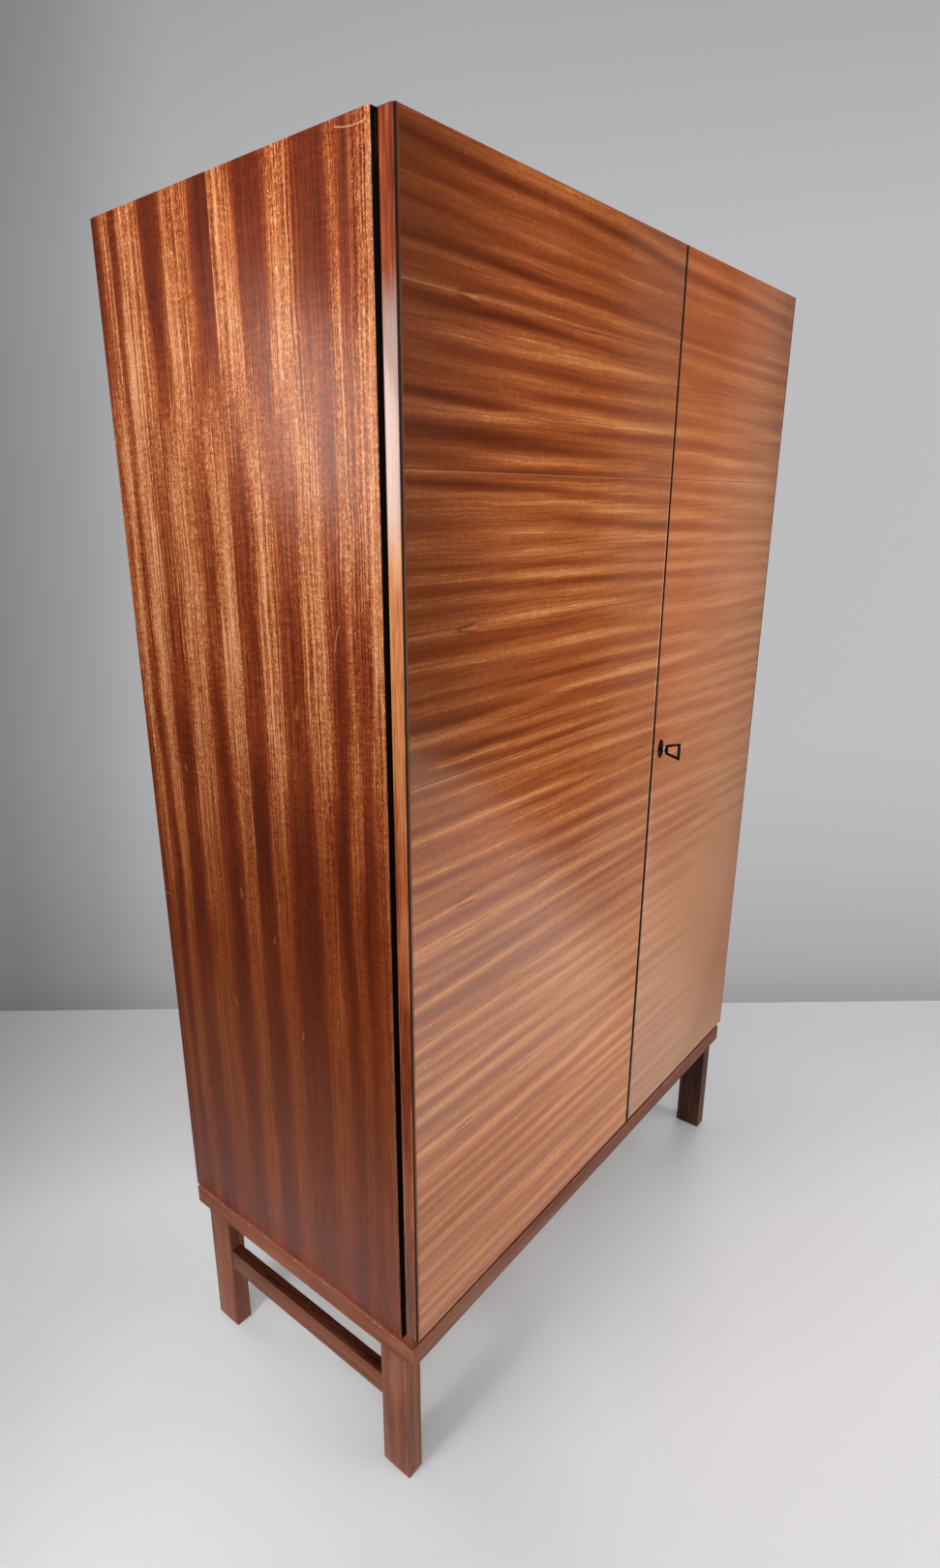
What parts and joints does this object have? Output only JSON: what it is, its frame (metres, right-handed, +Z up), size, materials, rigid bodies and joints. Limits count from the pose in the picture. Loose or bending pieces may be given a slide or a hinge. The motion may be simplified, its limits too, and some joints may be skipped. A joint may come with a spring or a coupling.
{
  "type": "two-door wardrobe",
  "caption": "Veneered wardrobe on a mitred rail frame with square legs and side stretchers, unequal lockable doors on pivot hinges, hanging space and shelves inside.",
  "frame": {"origin": "centre of the whole part's box on the floor, the key's bow included", "axes": "+Z up, doors face -Y, hinge side of the wide door at -X"},
  "size_m": [1.092, 0.564, 1.795],
  "materials": {
    "side_veneer": "striped sapele veneer laid upright, satin varnish",
    "door_veneer": "striped sapele veneer laid across, satin varnish",
    "lipping": "solid red-brown hardwood edge, satin varnish",
    "base_wood": "solid stained hardwood, worn satin varnish",
    "inside_wood": "pale inside veneer, matt",
    "back_ply": "plain plywood, raw",
    "black_edge": "black-stained wood, matt",
    "black_iron": "blackened iron",
    "steel": "plain steel sheet",
    "brass": "aged brass"
  },
  "bodies": {
    "case": {"side_panel_left": "side_veneer", "side_panel_right": "side_veneer", "top_board": "inside_wood", "bottom_board": "inside_wood", "centre_partition": "inside_wood", "back_panel": "back_ply", "shelf_1": "inside_wood", "shelf_2": "inside_wood", "shelf_3": "inside_wood", "shelf_4": "inside_wood", "hat_shelf": "inside_wood", "hat_shelf_cleat_left": "inside_wood", "hat_shelf_cleat_right": "inside_wood", "rod_socket_left": "brass", "rod_socket_right": "brass", "clothes_rod": "brass", "meeting_post": "black_edge", "stop_strip_bottom_left": "black_edge", "stop_strip_bottom_right": "black_edge", "stop_strip_top_left": "black_edge", "stop_strip_top_right": "black_edge", "base_rail_front": "base_wood", "base_rail_right": "base_wood", "base_rail_rear": "base_wood", "base_rail_left": "base_wood", "base_centre_bearer": "base_wood", "leg_front_left": "base_wood", "leg_rear_left": "base_wood", "leg_front_right": "base_wood", "leg_rear_right": "base_wood", "stretcher_left": "base_wood", "stretcher_right": "base_wood", "pivot_bracket_bottom_left": "black_iron", "pivot_bracket_top_left": "black_iron", "pivot_bracket_bottom_right": "black_iron", "pivot_bracket_top_right": "black_iron", "pivot_washer_left": "steel", "pivot_washer_right": "steel"},
    "door_left": {"door_left_panel": "door_veneer", "door_left_hinge_lipping": "lipping", "door_left_meeting_lipping": "lipping", "pivot_plate_bottom_left": "steel", "pivot_plate_top_left": "steel", "keep_plate": "brass", "bolt_guide_bottom": "brass", "bolt_guide_top": "brass"},
    "door_right": {"door_right_panel": "door_veneer", "door_right_hinge_lipping": "lipping", "door_right_meeting_lipping": "lipping", "pivot_plate_bottom_right": "steel", "pivot_plate_top_right": "steel", "lock_case": "steel", "lock_cover": "steel", "escutcheon": "black_iron"},
    "key": {"key": "black_iron"},
    "lock_bolt": {"lock_bolt": "brass"},
    "slide_bolt_top": {"slide_bolt_top": "brass"},
    "slide_bolt_bottom": {"slide_bolt_bottom": "brass"}
  },
  "joints": [
    {"name": "door_left_swing", "type": "hinge", "parent": "case", "child": "door_left", "pos_m": [-0.529, -0.233, 0.288], "axis": [0, 0, -1], "range_deg": [0, 110]},
    {"name": "door_right_swing", "type": "hinge", "parent": "case", "child": "door_right", "pos_m": [0.529, -0.233, 0.288], "axis": [0, 0, 1], "range_deg": [0, 110]},
    {"name": "key_turn", "type": "hinge", "parent": "door_right", "child": "key", "pos_m": [0.115, -0.246, 1.0365], "axis": [0, -1, 0], "range_deg": [0, 360]},
    {"name": "lock_bolt_throw", "type": "slide", "parent": "door_right", "child": "lock_bolt", "axis": [-1, 0, 0], "range_m": [0, 0.009]},
    {"name": "slide_bolt_top_throw", "type": "slide", "parent": "door_left", "child": "slide_bolt_top", "axis": [0, 0, 1], "range_m": [0, 0.012]},
    {"name": "slide_bolt_bottom_throw", "type": "slide", "parent": "door_left", "child": "slide_bolt_bottom", "axis": [0, 0, -1], "range_m": [0, 0.012]}
  ],
  "couplings": [
    {"joint": "lock_bolt_throw", "follows": "key_turn", "m_per_rad": 0.0014324}
  ]
}
